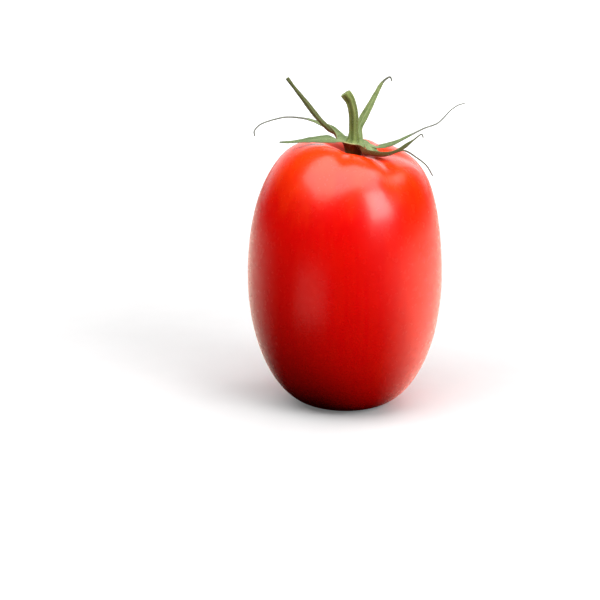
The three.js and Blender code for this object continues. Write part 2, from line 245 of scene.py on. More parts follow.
# Width, fold of the edges and twist are in even steps from a sepal's root to its tip. Darkness is
# how far its tone is from the palest one. The last value is the share of its length whose underside is
# painted dark brown, as painted shade under the calyx with red light from the fruit.
sepals = {
    "frontRightHooked": {
        "root": 25,
        "width": [3.4, 2.3, 1.8, 1.65, 1.1, 1.3, 0.5, 0.35],
        "fold": [0.2, 0.3, 0.3, 0.2],
        "twist": [-110, -62, -60, -55, -40],
        "midrib": [
            (4.2, -6.5, 70.6), (6.1, -9.1, 70.5), (9.1, -10.6, 70.5), (11.6, -11, 71),
            (14.3, -10.9, 72.2), (17.3, -10.2, 74.3), (19.3, -10, 75.8), (19.8, -10, 74.9),
        ],
        "darkness": 0.15,
        "paintedShadeUnder": 0.62,
    },
    "frontRightLow": {
        "root": 65,
        "width": [5.8, 3.4, 1.5, 0.9, 0.55, 0.5, 0.45],
        "fold": [0.15, 0.15],
        "twist": [0, 10],
        "midrib": [
            (6.9, -5.2, 70.3), (9.8, -6.6, 69.8), (12.9, -6.4, 70.3), (15.3, -5.4, 70.5),
            (18.2, -3.2, 68.4), (21.1, -1.6, 65.8), (23, -0.5, 62.6),
        ],
        "darkness": 0.45,
        "paintedShadeUnder": 0.4,
    },
    "rightLong": {
        "root": 105,
        "width": [4.8, 2.7, 1.9, 1, 0.5, 0.42, 0.4, 0.38, 0.38],
        "fold": [0.1, 0.1],
        "twist": [20, 84, 94, 88, 60],
        "midrib": [
            (7.2, -1.7, 70.7), (9.5, -2.7, 71.05), (11.9, -3, 71.75), (13.6, -2.9, 72.45),
            (16, -2.6, 73.6), (20.4, -2, 75.7), (24.1, -2, 77.2), (27.3, -2, 80.5),
            (29.3, -1.9, 81.9), (31.1, -1.8, 82.4),
        ],
        "darkness": 0.6,
        "paintedShadeUnder": 0.1,
    },
    "backRight": {
        "root": 160,
        "width": [2.6, 1.8, 2.1, 1.75, 1.4, 1.1, 0.55, 0.4],
        "fold": [0.3, 0.3, 0.2],
        "twist": [5, 20, 22],
        "midrib": [
            (3.5, 4.9, 73.9), (4.1, 5.3, 75.9), (6.2, 5.8, 79.9), (8, 6.3, 83.4),
            (9.7, 6.5, 86.4), (11.6, 6.2, 87.9), (12.2, 5.8, 86.8),
        ],
        "darkness": 0,
        "paintedShadeUnder": 0.1,
    },
    "backLeftLong": {
        "root": 225,
        "width": [3, 2.4, 1.4, 0.8, 0.52, 0.44, 0.42, 0.42, 0.42, 0.42],
        "fold": [0.2, 0.2],
        "twist": [-10, -30, -30, -20],
        "midrib": [
            (-2.3, 3.9, 73.2), (-4.5, 4.9, 74.5), (-7.5, 6, 75.7), (-11.1, 6.8, 76.6),
            (-15.4, 7.2, 76.9), (-18.7, 7.4, 76.3), (-22.1, 7.3, 75.2), (-23.7, 7.1, 74.1),
            (-24.4, 6.9, 73), (-24.2, 6.7, 71.8),
        ],
        "darkness": 0.4,
        "paintedShadeUnder": 0.1,
    },
    "leftUpright": {
        "root": 265,
        "width": [2.4, 1.5, 1.35, 1.5, 1.45, 1.15, 0.9, 1],
        "fold": [0.15, 0.15],
        "twist": [60, 90, 90, 90],
        "midrib": [
            (-3.2, 0.4, 73.9), (-5, 1, 75.4), (-7.7, 1.4, 78.2), (-10.9, 1.8, 82.3),
            (-13.8, 2, 86), (-15.6, 2.1, 88.4),
        ],
        "darkness": 0.1,
        "paintedShadeUnder": 0.1,
    },
    "leftFlat": {
        "root": 305,
        "width": [4, 3.2, 2.7, 2, 1.2, 0.9, 0.6],
        "fold": [0.1, 0.1],
        "twist": [-22, -32, -33, -30],
        "midrib": [
            (-3.7, -4.1, 73.2), (-5.2, -4.9, 73.4), (-8.5, -5.4, 73.4), (-11.9, -5.2, 73),
            (-14.8, -4.6, 72.6), (-17.5, -3.5, 72.3),
        ],
        "darkness": 0.62,
        "paintedShadeUnder": 0.1,
    },
}


# The value at each share of the way along a list of evenly spaced values.
def valuesAt(values, share):
    values = np.array(values, float)
    place = share * (len(values) - 1)
    low = np.minimum(place.astype(int), len(values) - 2)
    return values[low] + (values[low + 1] - values[low]) * smoothBetween(0, 1, place - low)


def hubPoint(direction, radius):
    direction = np.radians(np.asarray(direction, float))
    drop, low = calyx["hubTilt"]
    cup = calyx["hubCup"] * (radius / calyx["hubRadius"]) ** 4
    lift = cup - drop * radius * np.cos(direction - math.radians(low))
    around = np.stack([np.sin(direction), -np.cos(direction), np.zeros_like(direction)], -1)
    return calyx["centre"] + around * radius + np.multiply.outer(lift, np.array([0, 0, 1]))


# The rows of points across one sepal, from the hub's rim to its tip.
def sepalRows(number, sepal, start, end):
    c = calyx
    rim = hubPoint(sepal["root"], c["hubRadius"])
    outward = unit((rim - c["centre"]) * [1, 1, 0])
    path, length = pathThrough([rim, *sepal["midrib"]], c["sepalRows"])
    sides, ups = carriedSides(path, np.cross([0, 0, 1], outward))
    share = np.linspace(0, 1, c["sepalRows"] + 1)
    free = smoothBetween(0, c["blend"] / length, share)
    half = valuesAt(sepal["width"], share) / 2
    fold = valuesAt(sepal["fold"], share)
    turn = np.radians(valuesAt(sepal["twist"], share)) * free
    turned = sides * np.cos(turn)[:, None] + ups * np.sin(turn)[:, None]
    raised = ups * np.cos(turn)[:, None] - sides * np.sin(turn)[:, None]
    across = np.linspace(-1, 1, c["sepalSteps"] + 1)
    points = np.empty((len(share), len(across), 3))
    places = np.empty_like(points)
    for column, v in enumerate(across):
        edge = 1 if v > 0 else -1
        ripple = [noise.noise(Vector((s * length / 3.2, edge * 3.7, number * 5.3))) for s in share]
        reach = v * half * (1 + c["edgeWave"] * np.array(ripple) * free)
        lift = (fold * half * v * v + 0.5 * c["edgeWave"] * half * v**4 * np.roll(ripple, 5)) * free
        points[:, column] = path + turned * reach[:, None] + raised * lift[:, None]
        places[:, column] = np.stack([v * half, np.full(len(share), 12.0 * number), share * length], 1)
    rimLine = hubPoint(start + (end - start) * (across + 1) / 2, c["hubRadius"])
    held = 1 - smoothBetween(0, c["blend"] / length, share)
    points += held[:, None, None] * (rimLine - points[0])[None]
    return points, places, share, across


def makeCalyx():
    c = calyx
    step = 360 / c["rimSteps"]
    points, places, along, across, slim = [c["centre"]], [(0, 0, 0)], [0.0], [0.0], [1.0]
    darkness, paintedUnderShade, thread = [0.0], [1.0], [0.0]
    faces = []

    def onHub(ring, i):
        return 1 + (ring - 1) * c["rimSteps"] + i % c["rimSteps"]

    for ring in range(1, c["hubRings"] + 1):
        radius = c["hubRadius"] * ring / c["hubRings"]
        for i in range(c["rimSteps"]):
            points.append(hubPoint(i * step, radius))
            angle = math.radians(i * step)
            places.append((radius * math.sin(angle), -20 - radius * math.cos(angle), 0))
            along.append(0)
            across.append(0)
            slim.append(1)
            darkness.append(0.2)
            paintedUnderShade.append(1)
            thread.append(0)
    for i in range(c["rimSteps"]):
        faces.append((0, onHub(1, i), onHub(1, i + 1)))
        for ring in range(1, c["hubRings"]):
            outside = onHub(ring + 1, i), onHub(ring + 1, i + 1)
            faces.append((onHub(ring, i), *outside, onHub(ring, i + 1)))
    for number, sepal in enumerate(sepals.values()):
        start = round(sepal["root"] / step - c["sepalSteps"] / 2)
        end = start + c["sepalSteps"]
        rows, rowPlaces, share, v = sepalRows(number, sepal, start * step, end * step)
        inner = [onHub(c["hubRings"], start + k) for k in range(c["sepalSteps"] + 1)]
        for row in range(1, len(rows)):
            outer = list(range(len(points), len(points) + len(v)))
            points.extend(rows[row])
            places.extend(rowPlaces[row])
            along.extend([share[row]] * len(v))
            across.extend(v)
            slim.extend([1 - 0.45 * share[row]] * len(v))
            leaving = float(smoothBetween(0, 0.2, share[row]))
            darkness.extend([0.2 + (sepal["darkness"] - 0.2) * leaving] * len(v))
            # towards the hub a sepal's underside gets painted shade: dark brown, with red light from
            # the fruit
            past = float(smoothBetween(0.6, 1.2, share[row] / sepal["paintedShadeUnder"]))
            paintedUnderShade.extend([1 - past] * len(v))
            width = np.linalg.norm(rows[row][-1] - rows[row][0])
            thread.extend([1 - float(smoothBetween(0.4, 0.9, width))] * len(v))
            for k in range(len(v) - 1):
                faces.append((inner[k], outer[k], outer[k + 1], inner[k + 1]))
            inner = outer
    points, places = np.array(points), np.array(places)
    along, across, slim = np.array(along), np.array(across), np.array(slim)

    # the sheet gets its thickness: thick along the midrib, thin at the edges
    normals = np.zeros_like(points)
    edges = {}
    for face in faces:
        a, b, d = points[face[0]], points[face[1]], points[face[-1]]
        normals[list(face)] += np.cross(b - a, d - a)
        for i, j in zip(face, face[1:] + face[:1]):
            if edges.pop((j, i), None) is None:
                edges[(i, j)] = True
    normals = unit(normals)
    growing = smoothBetween(0.0, 0.12, along)
    flat = across**2
    half = 0.5 * (c["thickness"] + (c["edgeThickness"] - c["thickness"]) * flat) * slim
    onRib = np.exp(-((across / 0.16) ** 2)) * growing * (1 - along) ** 0.7
    above = points + normals * (half - c["midribGroove"] * onRib)[:, None]
    below = points - normals * (half + c["midribRidge"] * onRib)[:, None]
    lower = len(points)
    allFaces = list(faces)
    allFaces += [tuple(i + lower for i in reversed(face)) for face in faces]
    allFaces += [(j, i, i + lower, j + lower) for i, j in edges]
    allPoints = np.vstack([above, below])
    under = np.concatenate([np.zeros(lower), np.ones(lower)])
    fromCentre = np.linalg.norm((points - c["centre"]) * [1, 1, 0], axis=1)
    hub = np.exp(-((fromCentre / c["hubRadius"]) ** 2))

    # the neck that carries the hub, from a ring on the fruit's skin to a ring under the hub
    sides, rings = c["neckSides"], c["neckRings"]
    turns = 360 * np.arange(sides) / sides
    foot = fruitSurface(turns, c["neckFootLatitude"]) + c["neckFootShift"]
    top = hubPoint(turns, c["neckTop"]) - [0, 0, 0.1]
    t = np.linspace(0, 1, rings)[:, None, None]
    neck = foot + (top - foot) * t
    axis = neck.mean(axis=1, keepdims=True)
    ribCount, ribDepth = c["neckRibs"]
    ribs = ribDepth * np.cos(np.radians(ribCount * turns))[None, :, None]
    inward = 1 + ribs - 4 * c["neckPinch"] * t * (1 - t)
    neck = axis + (neck - axis) * np.concatenate([inward, inward, np.ones_like(inward)], 2)
    neckPoints = np.vstack([axis[0], neck.reshape(-1, 3), axis[-1]])
    offset = len(allPoints)
    allPoints = np.vstack([allPoints, neckPoints])
    allFaces += [tuple(i + offset for i in face) for face in ringFaces(rings, sides)]
    pad = np.zeros(len(neckPoints))
    # the neck and the hub's underside are wholly in the painted shade, dark brown with red light from
    # the fruit
    values = {
        "growth": np.vstack([places, places, (neckPoints - c["centre"]) + [0, 40, 0]]),
        "along": np.concatenate([along, along, pad]),
        "across": np.concatenate([across, across, pad]),
        "underside": np.concatenate([under, pad + 1]),
        "hub": np.concatenate([hub, hub, pad + 1]),
        "darkness": np.concatenate([darkness, darkness, pad + 0.2]),
        "paintedShadeUnder": np.concatenate([paintedUnderShade, paintedUnderShade, pad + 1]),
        "thread": np.concatenate([thread, thread, pad]),
    }
    return meshPiece("tomatoCalyx", allPoints, allFaces, values)


# The stem, cut off short and bent to the left.
stem = {
    "line": [
        (0, 0, 0), (0.12, 0, 0.8), (0.1, 0, 3.4), (0.1, 0, 6.1),
        (-0.2, 0, 8.5), (-0.9, 0, 10.8), (-2.1, 0, 12.6),
    ],
    "clearance": 0.4,
    "rootDepth": 0.75,  # how far it starts below that line, in the hub
    "rootShift": 0.11,
    "radius": 1.2,
    "footRadius": 1.6,
    "footShare": 0.22,
    "endRadius": 1.36,
    "flare": (0.75, 0.95),
    "ridges": (5, 0.1),  # count, depth
    "unevenness": 0.045,
    "rootFlare": (0.55, 1.5),  # how far it spreads where it grows out of the hub, and how high up
    "sides": 60,
    "rings": 90,
    "cutHollow": 0.25,
    # the rings on the cut end: share of the radius, height, how far it is cut face
    "cutRings": [(0.97, 0.04, 0.3), (0.9, 0.05, 1), (0.8, 0, 1), (0.55, -0.175, 1), (0.25, -0.25, 1)],
}


def makeStem():
    s = stem
    base = calyx["centre"] + [0, 0, 0.3 + s["clearance"]]
    line = [np.array(p) + base for p in s["line"]]
    root = line[0] - [s["rootShift"], 0, s["rootDepth"]]
    path, length = pathThrough([root, *line], s["rings"])
    sides, ups = carriedSides(path, [1, 0, 0])
    far = np.linspace(0, length, s["rings"] + 1)
    share = (far - s["rootDepth"]) / (length - s["rootDepth"])
    angle = 2 * math.pi * np.arange(s["sides"]) / s["sides"]
    foot = (s["footRadius"] - s["radius"]) * (1 - smoothBetween(0, s["footShare"], share))
    flare = (s["endRadius"] - s["radius"]) * smoothBetween(*s["flare"], share)
    spread = s["rootFlare"][0] * (1 - smoothBetween(0, s["rootFlare"][1], far)) ** 2
    count, depth = s["ridges"]
    points = []
    for i in range(len(far)):
        places = [Vector((math.cos(a) * 1.7, math.sin(a) * 1.7, far[i] / 2.6)) for a in angle]
        uneven = np.array([noise.noise(place) for place in places])
        ridge = depth * (np.cos(count * angle + 0.05 * far[i]) + 0.35 * np.cos(2 * count * angle + 1))
        radius = s["radius"] + foot[i] + flare[i] + spread[i] + ridge + s["unevenness"] * uneven
        outSide = np.outer(np.cos(angle) * radius, sides[i])
        outUp = np.outer(np.sin(angle) * radius, ups[i])
        points.append(path[i] + outSide + outUp)
    along = list(far)
    cut = [0.0] * len(far)
    # the cut end: a thin rim, then a slightly hollow face
    tangent = unit(path[-1] - path[-2])
    outer = points[-1] - path[-1]
    cutRadius = [1.0] * len(far)
    for inward, height, mask in s["cutRings"]:
        points.append(path[-1] + outer * inward + tangent * height)
        along.append(length)
        cut.append(mask)
        cutRadius.append(inward)
    rings = len(points)
    cloud = np.vstack([path[0], np.vstack(points), path[-1] - tangent * s["cutHollow"]])
    x, y = np.cos(angle) * 1.3, np.sin(angle) * 1.3
    place = [np.stack([x, y, np.full(len(angle), a)], 1) for a in along]
    growth = np.vstack([[0, 0, 0], np.vstack(place), [0, 0, length]])
    ridgeMask = np.tile(0.5 + 0.5 * np.cos(count * angle), rings)
    values = {
        "growth": growth,
        "cutFace": np.concatenate([[0], np.repeat(cut, s["sides"]), [1]]),
        "cutRadius": np.concatenate([[1], np.repeat(cutRadius, s["sides"]), [0]]),
        "ridge": np.concatenate([[0.5], ridgeMask, [0.5]]),
        "upStem": np.concatenate([[0], np.repeat(np.array(along) / length, s["sides"]), [1]]),
    }
    return meshPiece("tomatoStem", cloud, ringFaces(rings, s["sides"]), values)


# Short fine hairs on the stem and the sepals, each a thin three-sided spike.
hairs = {
    "length": (0.25, 0.6),
    "width": 0.035,
    "lean": 0.45,
    "rootDepth": 0.03,
    "onStem": 900,
    "onCalyx": 1500,
    "seed": 7,
}


def makeHairs(name, owner, count, seed):
    dice = random.Random(seed)
    mesh = owner.data
    mesh.calc_loop_triangles()
    corners = [[mesh.vertices[i].co for i in t.vertices] for t in mesh.loop_triangles]
    corners = np.array(corners) / mm
    normals = np.cross(corners[:, 1] - corners[:, 0], corners[:, 2] - corners[:, 0])
    areas = np.linalg.norm(normals, axis=1)
    normals = unit(normals)
    reach = np.cumsum(areas)
    points, faces = [], []
    for _ in range(count):
        k = int(np.searchsorted(reach, dice.random() * reach[-1]))
        a, b = sorted((dice.random(), dice.random()))
        foot = corners[k, 0] * a + corners[k, 1] * (b - a) + corners[k, 2] * (1 - b)
        aside = np.array([dice.uniform(-1, 1) for _ in range(3)])
        lean = unit(normals[k] + hairs["lean"] * aside)
        side = unit(np.cross(lean, [0.3, 0.5, 0.8]))
        other = np.cross(lean, side)
        long = dice.uniform(*hairs["length"])
        first = len(points)
        for j in range(3):
            turn = 2 * math.pi * j / 3
            out = hairs["width"] / 2 * (side * math.cos(turn) + other * math.sin(turn))
            points.append(foot - lean * hairs["rootDepth"] + out)
        points.append(foot + lean * long)
        faces += [(first + j, first + (j + 1) % 3, first + 3) for j in range(3)]
    return meshPiece(name, np.array(points), faces)


fruitPiece = makeFruit()
print("fruit skin made:", len(fruitPiece.data.polygons), "faces")
calyxPiece = makeCalyx()
print("calyx made:", len(calyxPiece.data.polygons), "faces,", len(sepals), "sepals")
stemPiece = makeStem()
print("stem made:", len(stemPiece.data.polygons), "faces")
stemHairs = makeHairs("tomatoStemHairs", stemPiece, hairs["onStem"], hairs["seed"])
calyxHairs = makeHairs("tomatoCalyxHairs", calyxPiece, hairs["onCalyx"], hairs["seed"] + 1)
print("hairs made:", hairs["onStem"] + hairs["onCalyx"])


# Gives an input a value, or links it to another node's output.
def feed(tree, socket, value):
    if isinstance(value, bpy.types.NodeSocket):
        tree.links.new(value, socket)
    else:
        socket.default_value = value


def plainNode(tree, kind, place):
    node = tree.nodes.new(kind)
    node.location = place
    return node


def addNode(tree, kind, place, inputs=None, **settings):
    node = plainNode(tree, "ShaderNode" + kind, place)
    for key, value in settings.items():
        setattr(node, key, value)
    for key, value in (inputs or {}).items():
        feed(tree, node.inputs[key], value)
    return node


def colour(r, g, b):
    return (r, g, b, 1)


def mixColours(tree, place, factor, first, second):
    # a colour mix has its factor and its two colours at these places among its inputs
    node = addNode(tree, "Mix", place, {0: factor, 6: first, 7: second}, data_type="RGBA")
    return node.outputs[2]


def rangeOf(tree, place, value, low, high, toLow=0.0, toHigh=1.0):
    ends = {"Value": value, "From Min": low, "From Max": high, "To Min": toLow, "To Max": toHigh}
    return addNode(tree, "MapRange", place, ends, interpolation_type="SMOOTHSTEP").outputs["Result"]


def calculate(tree, place, operation, *values):
    return addNode(tree, "Math", place, dict(enumerate(values)), operation=operation).outputs[0]


def keptInRange(tree, place, value):
    x, y = place
    above = calculate(tree, (x - 100, y), "MAXIMUM", value, 0.0)
    return calculate(tree, place, "MINIMUM", above, 1.0)


# A group with named inputs and one output; gives the inner ends of both as well.
def newGroup(name, inputs, outputName, outputKind):
    group = bpy.data.node_groups.new(name, "ShaderNodeTree")
    for label, kind, value in inputs:
        socket = group.interface.new_socket(label, in_out="INPUT", socket_type="NodeSocket" + kind)
        if value is not None:
            socket.default_value = value
    group.interface.new_socket(outputName, in_out="OUTPUT", socket_type="NodeSocket" + outputKind)
    given = plainNode(group, "NodeGroupInput", (-900, 0)).outputs
    out = plainNode(group, "NodeGroupOutput", (600, 0)).inputs[outputName]
    return group, given, out


# Two tones that run softly into each other.
def makeMottle():
    group, given, out = newGroup("toneMottle", [
        ("Place", "Vector", None),
        ("First Tone", "Color", colour(0.5, 0.5, 0.5)),
        ("Second Tone", "Color", colour(0.6, 0.6, 0.6)),
        ("Patches per mm", "Float", 0.1),
        ("Contrast", "Float", 0.5),
    ], "Color", "Color")
    cloud = addNode(group, "TexNoise", (-600, 0), {
        "Vector": given["Place"], "Scale": given["Patches per mm"], "Detail": 3.0, "Roughness": 0.55,
    })
    centred = calculate(group, (-500, 0), "SUBTRACT", cloud.outputs["Fac"], 0.5)
    sharper = calculate(group, (-400, 0), "MULTIPLY_ADD", centred, given["Contrast"], 0.5)
    share = keptInRange(group, (-250, 0), sharper)
    group.links.new(mixColours(group, (-100, 0), share, given["First Tone"], given["Second Tone"]), out)
    return group


# Small round specks, some of them missing.
def makeFlecks():
    group, given, out = newGroup("fineFlecks", [
        ("Place", "Vector", None),
        ("Flecks per mm", "Float", 1.0),
        ("Size", "Float", 0.15),
        ("Share", "Float", 0.5),
    ], "Mask", "Float")
    cells = addNode(group, "TexVoronoi", (-600, 0), {
        "Vector": given["Place"], "Scale": given["Flecks per mm"],
    })
    dice = addNode(group, "SeparateColor", (-400, -150), {"Color": cells.outputs["Color"]}).outputs
    larger = calculate(group, (-300, -250), "ADD", dice["Green"], 0.4)
    size = calculate(group, (-250, -150), "MULTIPLY", given["Size"], larger)
    near = calculate(group, (-100, 0), "DIVIDE", cells.outputs["Distance"], size)
    spot = rangeOf(group, (50, 0), near, 0.5, 1.0, 1.0, 0.0)
    kept = calculate(group, (50, -200), "LESS_THAN", dice["Red"], given["Share"])
    group.links.new(calculate(group, (300, 0), "MULTIPLY", spot, kept), out)
    return group


# Streaks along one direction: the place is squeezed along Z before the noise reads it.
def makeStreaks():
    group, given, out = newGroup("growthStreaks", [
        ("Place", "Vector", None),
        ("Streaks per mm", "Float", 1.0),
        ("Length", "Float", 10.0),
        ("Contrast", "Float", 1.0),
    ], "Mask", "Float")
    shorter = calculate(group, (-850, -200), "DIVIDE", 1.0, given["Length"])
    squeeze = addNode(group, "CombineXYZ", (-750, -200), {"X": 1.0, "Y": 1.0, "Z": shorter}).outputs[0]
    factors = {0: given["Place"], 1: squeeze}
    squeezed = addNode(group, "VectorMath", (-600, 0), factors, operation="MULTIPLY").outputs[0]
    cloud = addNode(group, "TexNoise", (-400, 0), {
        "Vector": squeezed, "Scale": given["Streaks per mm"], "Detail": 2.0, "Roughness": 0.5,
    })
    centred = calculate(group, (-200, 0), "SUBTRACT", cloud.outputs["Fac"], 0.5)
    contrast = calculate(group, (-100, -150), "MULTIPLY", given["Contrast"], 2.0)
    sharper = calculate(group, (0, 0), "MULTIPLY_ADD", centred, contrast, 0.5)
    group.links.new(keptInRange(group, (300, 0), sharper), out)
    return group


# A height for the bump: broad pores with finer grain on them.
def makeGrain():
    group, given, out = newGroup("skinGrain", [
        ("Place", "Vector", None),
        ("Broad per mm", "Float", 1.0),
        ("Fine per mm", "Float", 6.0),
        ("Fine Share", "Float", 0.3),
    ], "Height", "Float")
    broad = addNode(group, "TexNoise", (-500, 100), {
        "Vector": given["Place"], "Scale": given["Broad per mm"], "Detail": 2.0,
    })
    fine = addNode(group, "TexNoise", (-500, -150), {
        "Vector": given["Place"], "Scale": given["Fine per mm"], "Detail": 3.0,
    })
    small = calculate(group, (-250, -150), "MULTIPLY", fine.outputs["Fac"], given["Fine Share"])
    group.links.new(calculate(group, (0, 0), "ADD", broad.outputs["Fac"], small), out)
    return group


mottle, flecks, streaks, grain = makeMottle(), makeFlecks(), makeStreaks(), makeGrain()


# Places a group in a material. An underscore in a keyword stands for a space in the input's name.
def placeGroup(tree, group, place, **inputs):
    node = plainNode(tree, "ShaderNodeGroup", place)
    node.node_tree = group
    for key, value in inputs.items():
        feed(tree, node.inputs[key.replace("_", " ")], value)
    return node.outputs[0]


def newMaterial(name):
    material = bpy.data.materials.new(name)
    material.use_nodes = True
    tree = material.node_tree
    return material, tree, tree.nodes["Principled BSDF"]


# Values that are stored on the mesh's points.
def readValues(tree, *names):
    outputs = []
    for row, name in enumerate(names, 1):
        node = addNode(tree, "Attribute", (-1700, -200 * row), attribute_name=name)
        outputs.append(node.outputs["Fac"])
    return outputs


def placeInMm(tree):
    coordinates = addNode(tree, "TexCoord", (-1700, 0)).outputs["Object"]
    inputs = {0: coordinates, "Scale": 1 / mm}
    return addNode(tree, "VectorMath", (-1500, 0), inputs, operation="SCALE").outputs[0]


def bumpNormal(tree, place, height, depth):
    inputs = {"Strength": 1.0, "Distance": depth * mm, "Height": height}
    return addNode(tree, "Bump", place, inputs).outputs["Normal"]


# Links what varies over the surface and sets what is the same all over it.
def finishShader(tree, shader, linked, fixed):
    for name, output in linked.items():
        tree.links.new(output, shader.inputs[name])
    for name, value in fixed.items():
        shader.inputs[name].default_value = value


skin = {
    "ripe": colour(0.71, 0.0003, 0.0001),
    "ripeWarm": colour(0.77, 0.001, 0.0002),
    "shoulder": colour(0.88, 0.038, 0.0008),
    "shoulderFrom": (57.0, 74.0),  # heights between which it turns orange, in mm
    # towards the right the skin is painted lighter and more orange: partly riper skin, partly painted
    # light for the brighter lit side
    "ripeAndPaintedLitSide": colour(0.9, 0.017, 0.0004),
    "ripeAndPaintedLitSideFrom": (10.0, 26.0),  # the same towards the right
    "wander": 6.0,  # mm by which those borders wander
    "streak": colour(0.9, 0.03, 0.001),
    "streakShare": 0.08,
    "fleck": colour(0.95, 0.12, 0.02),
    "fleckShare": 0.06,
    "cork": colour(0.42, 0.22, 0.06),
    "scar": colour(0.16, 0.075, 0.025),
    "roughness": 0.27,
    "dullRoughness": 0.8,  # of the cork and the scar
    "bump": 0.002,  # mm
}
skinFinish = {
    "IOR": 1.45,
    "Specular IOR Level": 0.5,
    "Subsurface Weight": 0.12,
    "Subsurface Radius": (1.0, 0.25, 0.1),
    "Subsurface Scale": 2 * mm,
    "Coat Weight": 0.1,
    "Coat Roughness": 0.16,
}


def skinMaterial():
    material, tree, shader = newMaterial("tomatoSkin")
    place = placeInMm(tree)
    axes = addNode(tree, "SeparateXYZ", (-1300, -300), {"Vector": place}).outputs
    ripe = placeGroup(
        tree, mottle, (-1300, 200), Place=place, First_Tone=skin["ripe"],
        Second_Tone=skin["ripeWarm"], Patches_per_mm=0.07, Contrast=2.0)
    wander = placeGroup(
        tree, streaks, (-1300, 0), Place=place, Streaks_per_mm=0.25, Length=6.0, Contrast=1.2)
    aside = calculate(tree, (-1100, 0), "MULTIPLY_ADD", wander, skin["wander"], axes["X"])
    # painted light in part: the right side is made lighter and more orange, as well as riper
    ripeAndPaintedLitSide = rangeOf(tree, (-900, 0), aside, *skin["ripeAndPaintedLitSideFrom"])
    tone = mixColours(tree, (-800, 200), ripeAndPaintedLitSide, ripe, skin["ripeAndPaintedLitSide"])
    lifted = calculate(tree, (-1100, -200), "MULTIPLY_ADD", wander, skin["wander"], axes["Z"])
    shoulder = rangeOf(tree, (-900, -200), lifted, *skin["shoulderFrom"])
    tone = mixColours(tree, (-700, 200), shoulder, tone, skin["shoulder"])
    fine = placeGroup(
        tree, streaks, (-1300, -500), Place=place, Streaks_per_mm=0.9, Length=14.0, Contrast=1.6)
    fine = calculate(tree, (-700, 0), "MULTIPLY", fine, skin["streakShare"])
    tone = mixColours(tree, (-500, 200), fine, tone, skin["streak"])
    specks = placeGroup(
        tree, flecks, (-1300, -700), Place=place, Flecks_per_mm=1.3, Size=0.17, Share=0.4)
    specks = calculate(tree, (-500, 0), "MULTIPLY", specks, skin["fleckShare"])
    tone = mixColours(tree, (-300, 200), specks, tone, skin["fleck"])
    stemEnd, scar = readValues(tree, "stemEnd", "blossomScar")
    corky = rangeOf(tree, (-500, -300), stemEnd, 0.62, 0.98)
    tone = mixColours(tree, (-150, 200), corky, tone, skin["cork"])
    scarred = rangeOf(tree, (-500, -500), scar, 0.1, 0.8)
    tone = mixColours(tree, (0, 200), scarred, tone, skin["scar"])
    height = placeGroup(
        tree, grain, (-900, -700), Place=place, Broad_per_mm=0.6, Fine_per_mm=5.0, Fine_Share=0.15)
    dull = calculate(tree, (-300, -200), "MAXIMUM", stemEnd, scar)
    rough = rangeOf(tree, (-100, -200), dull, 0.05, 0.4, skin["roughness"], skin["dullRoughness"])
    uneven = calculate(tree, (-100, -350), "SUBTRACT", height, 0.6)
    rough = calculate(tree, (50, -200), "MULTIPLY_ADD", uneven, 0.04, rough)
    bump = bumpNormal(tree, (50, -500), height, skin["bump"])
    linked = {"Base Color": tone, "Roughness": rough, "Normal": bump}
    finishShader(tree, shader, linked, skinFinish)
    return material


leaf = {
    "green": colour(0.085, 0.145, 0.035),
    "greenPale": colour(0.225, 0.3, 0.1),
    "dark": colour(0.055, 0.085, 0.035),
    "midrib": colour(0.36, 0.43, 0.2),
    "veinShare": 0.5,
    "edge": colour(0.3, 0.28, 0.11),
    "edgeShare": 0.4,
    "tip": colour(0.14, 0.145, 0.12),
    "under": colour(0.09, 0.1, 0.03),
    # painted shade under the hub: dark brown, with red light bounced from the fruit
    "paintedShadeUnderHub": colour(0.1, 0.04, 0.003),
    "underShare": 0.85,
    "hub": colour(0.2, 0.26, 0.05),
    "hubShare": 0.55,
    "lip": colour(0.46, 0.41, 0.17),
    "lipShare": 0.9,
    "fleckShare": 0.3,
    "roughness": 0.56,
    "bump": 0.06,  # mm
}
leafFinish = {
    "Specular IOR Level": 0.25,
    "Sheen Weight": 0.08,
    "Sheen Roughness": 0.4,
    "Sheen Tint": colour(0.8, 0.95, 0.85),
}


